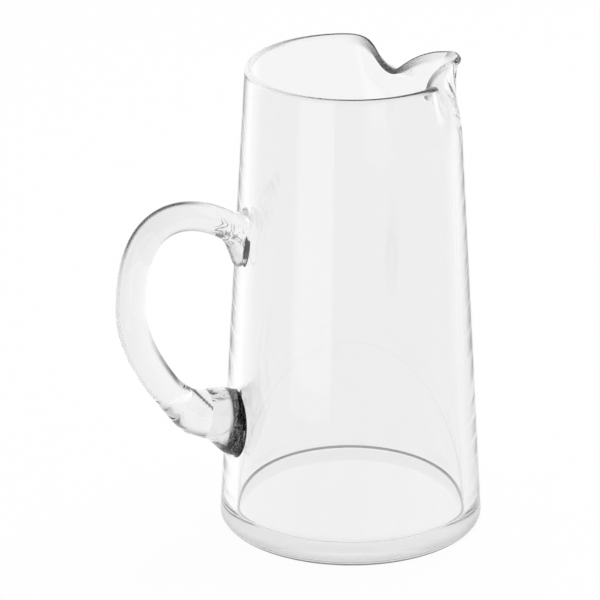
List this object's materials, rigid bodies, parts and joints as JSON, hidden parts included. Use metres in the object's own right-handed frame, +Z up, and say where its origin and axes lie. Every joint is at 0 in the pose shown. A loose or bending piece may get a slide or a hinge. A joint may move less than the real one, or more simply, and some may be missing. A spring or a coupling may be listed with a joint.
{
  "type": "glass pitcher",
  "caption": "Tapered clear glass pitcher with a thick base, a rim pinched in beside a narrow pouring lip, and an applied solid glass handle.",
  "frame": {"origin": "middle of the round underside, on the body's axis, at the level of the table", "axes": "+Z up along the body's axis; +X towards the pouring lip; the handle is on the -X side"},
  "size_m": [0.1996, 0.1382, 0.25],
  "materials": {
    "clear_glass": "fire-polished clear soda-lime glass"
  },
  "bodies": {
    "root": {"vessel": "clear_glass", "handle": "clear_glass", "upper_handle_pad": "clear_glass", "lower_handle_pad": "clear_glass"}
  },
  "joints": []
}
